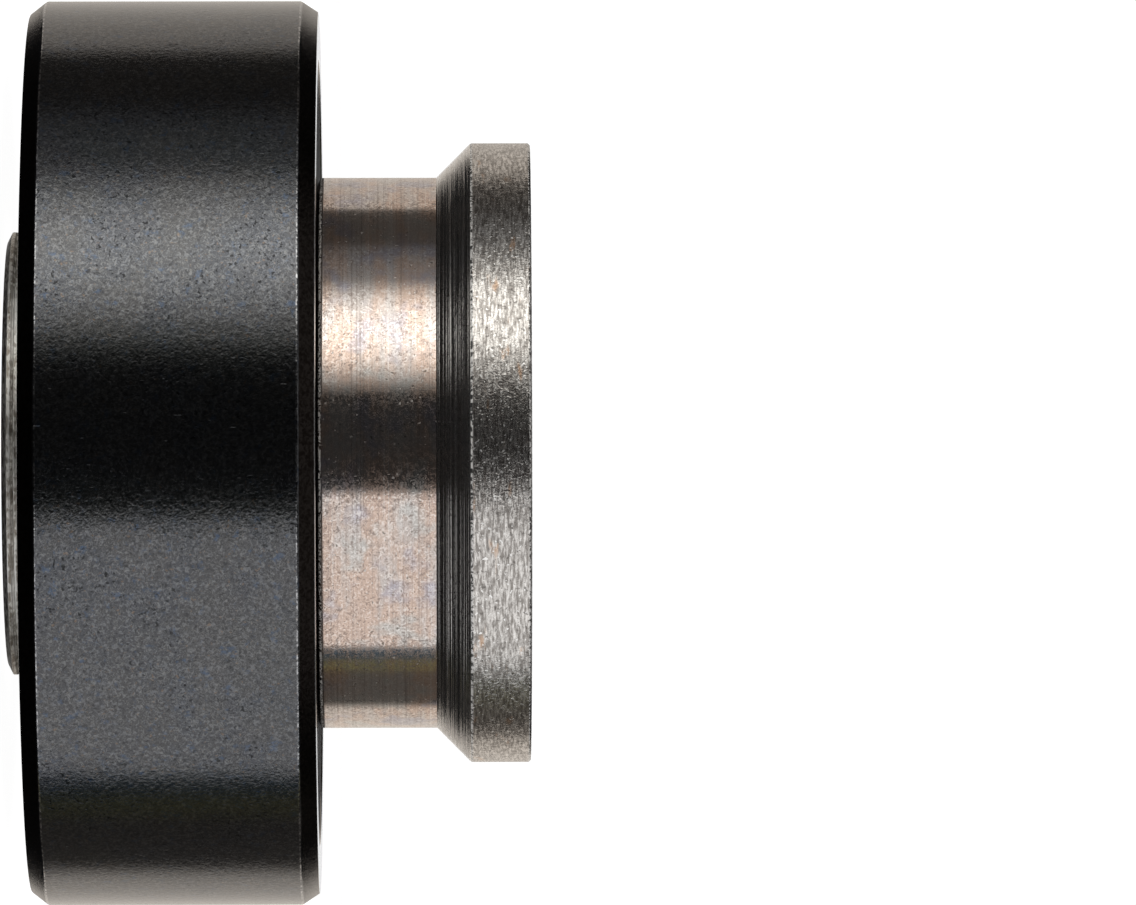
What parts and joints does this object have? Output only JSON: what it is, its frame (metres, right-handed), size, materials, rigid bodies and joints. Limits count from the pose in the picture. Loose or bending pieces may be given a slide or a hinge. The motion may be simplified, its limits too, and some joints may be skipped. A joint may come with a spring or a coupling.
{
  "type": "angular contact bearing",
  "caption": "Sealed angular contact ball bearing whose inner ring is extended on one side into a spacer with a coned flange, for a through axle or pivot bolt.",
  "frame": {"origin": "centre of the inner ring's small end face, on the bearing's axis, which is the bottom centre of the part's box", "axes": "+Z along the bearing's axis from the small end to the flange; X and Y across it, with ball 1 on +X"},
  "size_m": [0.022, 0.022, 0.0127],
  "materials": {
    "ground_steel": "ground and brushed, satin",
    "black_oxide": "black oxide over ground steel, satin",
    "core_steel": "rolled sheet steel",
    "seal_rubber": "moulded, matt",
    "cage_nylon": "moulded glass-filled nylon",
    "ball_steel": "lapped, mirror bright"
  },
  "bodies": {
    "inner_ring_body": {"inner_ring": "ground_steel"},
    "outer_ring_body": {"outer_ring": "black_oxide", "lower_seal_core": "core_steel", "lower_seal_rubber": "seal_rubber", "upper_seal_core": "core_steel", "upper_seal_rubber": "seal_rubber"},
    "cage_body": {"ball_cage": "cage_nylon"},
    "ball_1_body": {"ball_1": "ball_steel"},
    "ball_2_body": {"ball_2": "ball_steel"},
    "ball_3_body": {"ball_3": "ball_steel"},
    "ball_4_body": {"ball_4": "ball_steel"},
    "ball_5_body": {"ball_5": "ball_steel"},
    "ball_6_body": {"ball_6": "ball_steel"},
    "ball_7_body": {"ball_7": "ball_steel"},
    "ball_8_body": {"ball_8": "ball_steel"},
    "ball_9_body": {"ball_9": "ball_steel"}
  },
  "joints": [
    {"name": "outer_ring_spin", "type": "hinge", "parent": "inner_ring_body", "child": "outer_ring_body", "pos_m": [0, 0, 0.00407], "axis": [0, 0, 1], "continuous": true},
    {"name": "cage_spin", "type": "hinge", "parent": "inner_ring_body", "child": "cage_body", "pos_m": [0, 0, 0.00407], "axis": [0, 0, 1], "continuous": true},
    {"name": "ball_1_spin", "type": "hinge", "parent": "cage_body", "child": "ball_1_body", "pos_m": [0.0075, 0, 0.00407], "axis": [-0.2588, 0, 0.9659], "continuous": true},
    {"name": "ball_2_spin", "type": "hinge", "parent": "cage_body", "child": "ball_2_body", "pos_m": [0.00575, 0.00482, 0.00407], "axis": [-0.1983, -0.1664, 0.9659], "continuous": true},
    {"name": "ball_3_spin", "type": "hinge", "parent": "cage_body", "child": "ball_3_body", "pos_m": [0.0013, 0.00739, 0.00407], "axis": [-0.0449, -0.2549, 0.9659], "continuous": true},
    {"name": "ball_4_spin", "type": "hinge", "parent": "cage_body", "child": "ball_4_body", "pos_m": [-0.00375, 0.0065, 0.00407], "axis": [0.1294, -0.2241, 0.9659], "continuous": true},
    {"name": "ball_5_spin", "type": "hinge", "parent": "cage_body", "child": "ball_5_body", "pos_m": [-0.00705, 0.00257, 0.00407], "axis": [0.2432, -0.0885, 0.9659], "continuous": true},
    {"name": "ball_6_spin", "type": "hinge", "parent": "cage_body", "child": "ball_6_body", "pos_m": [-0.00705, -0.00257, 0.00407], "axis": [0.2432, 0.0885, 0.9659], "continuous": true},
    {"name": "ball_7_spin", "type": "hinge", "parent": "cage_body", "child": "ball_7_body", "pos_m": [-0.00375, -0.0065, 0.00407], "axis": [0.1294, 0.2241, 0.9659], "continuous": true},
    {"name": "ball_8_spin", "type": "hinge", "parent": "cage_body", "child": "ball_8_body", "pos_m": [0.0013, -0.00739, 0.00407], "axis": [-0.0449, 0.2549, 0.9659], "continuous": true},
    {"name": "ball_9_spin", "type": "hinge", "parent": "cage_body", "child": "ball_9_body", "pos_m": [0.00575, -0.00482, 0.00407], "axis": [-0.1983, 0.1664, 0.9659], "continuous": true}
  ],
  "couplings": [
    {"joint": "cage_spin", "follows": "outer_ring_spin", "ratio": 0.62779},
    {"joint": "ball_1_spin", "follows": "outer_ring_spin", "ratio": 1.7662},
    {"joint": "ball_2_spin", "follows": "outer_ring_spin", "ratio": 1.7662},
    {"joint": "ball_3_spin", "follows": "outer_ring_spin", "ratio": 1.7662},
    {"joint": "ball_4_spin", "follows": "outer_ring_spin", "ratio": 1.7662},
    {"joint": "ball_5_spin", "follows": "outer_ring_spin", "ratio": 1.7662},
    {"joint": "ball_6_spin", "follows": "outer_ring_spin", "ratio": 1.7662},
    {"joint": "ball_7_spin", "follows": "outer_ring_spin", "ratio": 1.7662},
    {"joint": "ball_8_spin", "follows": "outer_ring_spin", "ratio": 1.7662},
    {"joint": "ball_9_spin", "follows": "outer_ring_spin", "ratio": 1.7662}
  ]
}
